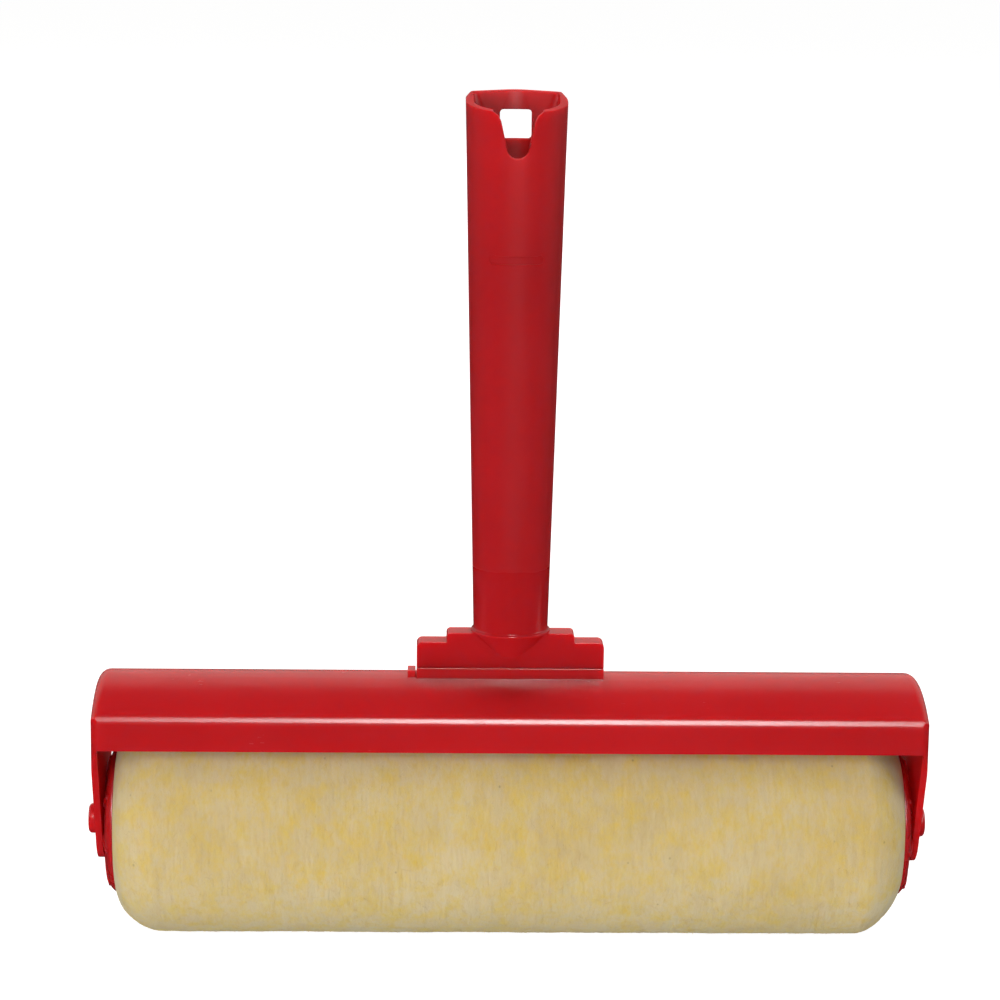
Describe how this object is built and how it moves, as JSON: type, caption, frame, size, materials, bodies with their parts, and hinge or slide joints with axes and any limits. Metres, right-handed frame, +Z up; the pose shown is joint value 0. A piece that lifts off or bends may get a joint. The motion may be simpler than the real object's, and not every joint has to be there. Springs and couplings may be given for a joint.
{
  "type": "paint roller",
  "caption": "Paint roller: fleece sleeve turning on pins between the arms of a curved splash guard, with a hollow handle that slides onto the guard and takes a pole.",
  "frame": {"origin": "on the pole socket's axis, at the ledge that stops the pole, 160 mm above the axle", "axes": "+Z up the handle and out of the socket's mouth, +X along the axle, +Y from the notched front of the handle to its back with the hanging hole"},
  "size_m": [0.2372, 0.0638, 0.2375],
  "materials": {
    "guard_plastic": "glossy moulded plastic",
    "grip_plastic": "finely textured moulded plastic",
    "pin_plastic": "glossy moulded plastic",
    "cap_plastic": "satin moulded plastic",
    "core_plastic": "plain extruded plastic",
    "fleece": "dense cut pile"
  },
  "bodies": {
    "frame": {"drip_shield": "guard_plastic", "handle": "grip_plastic", "axle_pin_left": "pin_plastic", "axle_pin_right": "pin_plastic"},
    "roller": {"core_tube": "core_plastic", "fleece_cover": "fleece", "end_cap_left": "cap_plastic", "end_cap_right": "cap_plastic"}
  },
  "joints": [
    {"name": "roller_spin", "type": "hinge", "parent": "frame", "child": "roller", "pos_m": [0, 0, -0.16], "axis": [1, 0, 0], "continuous": true}
  ]
}
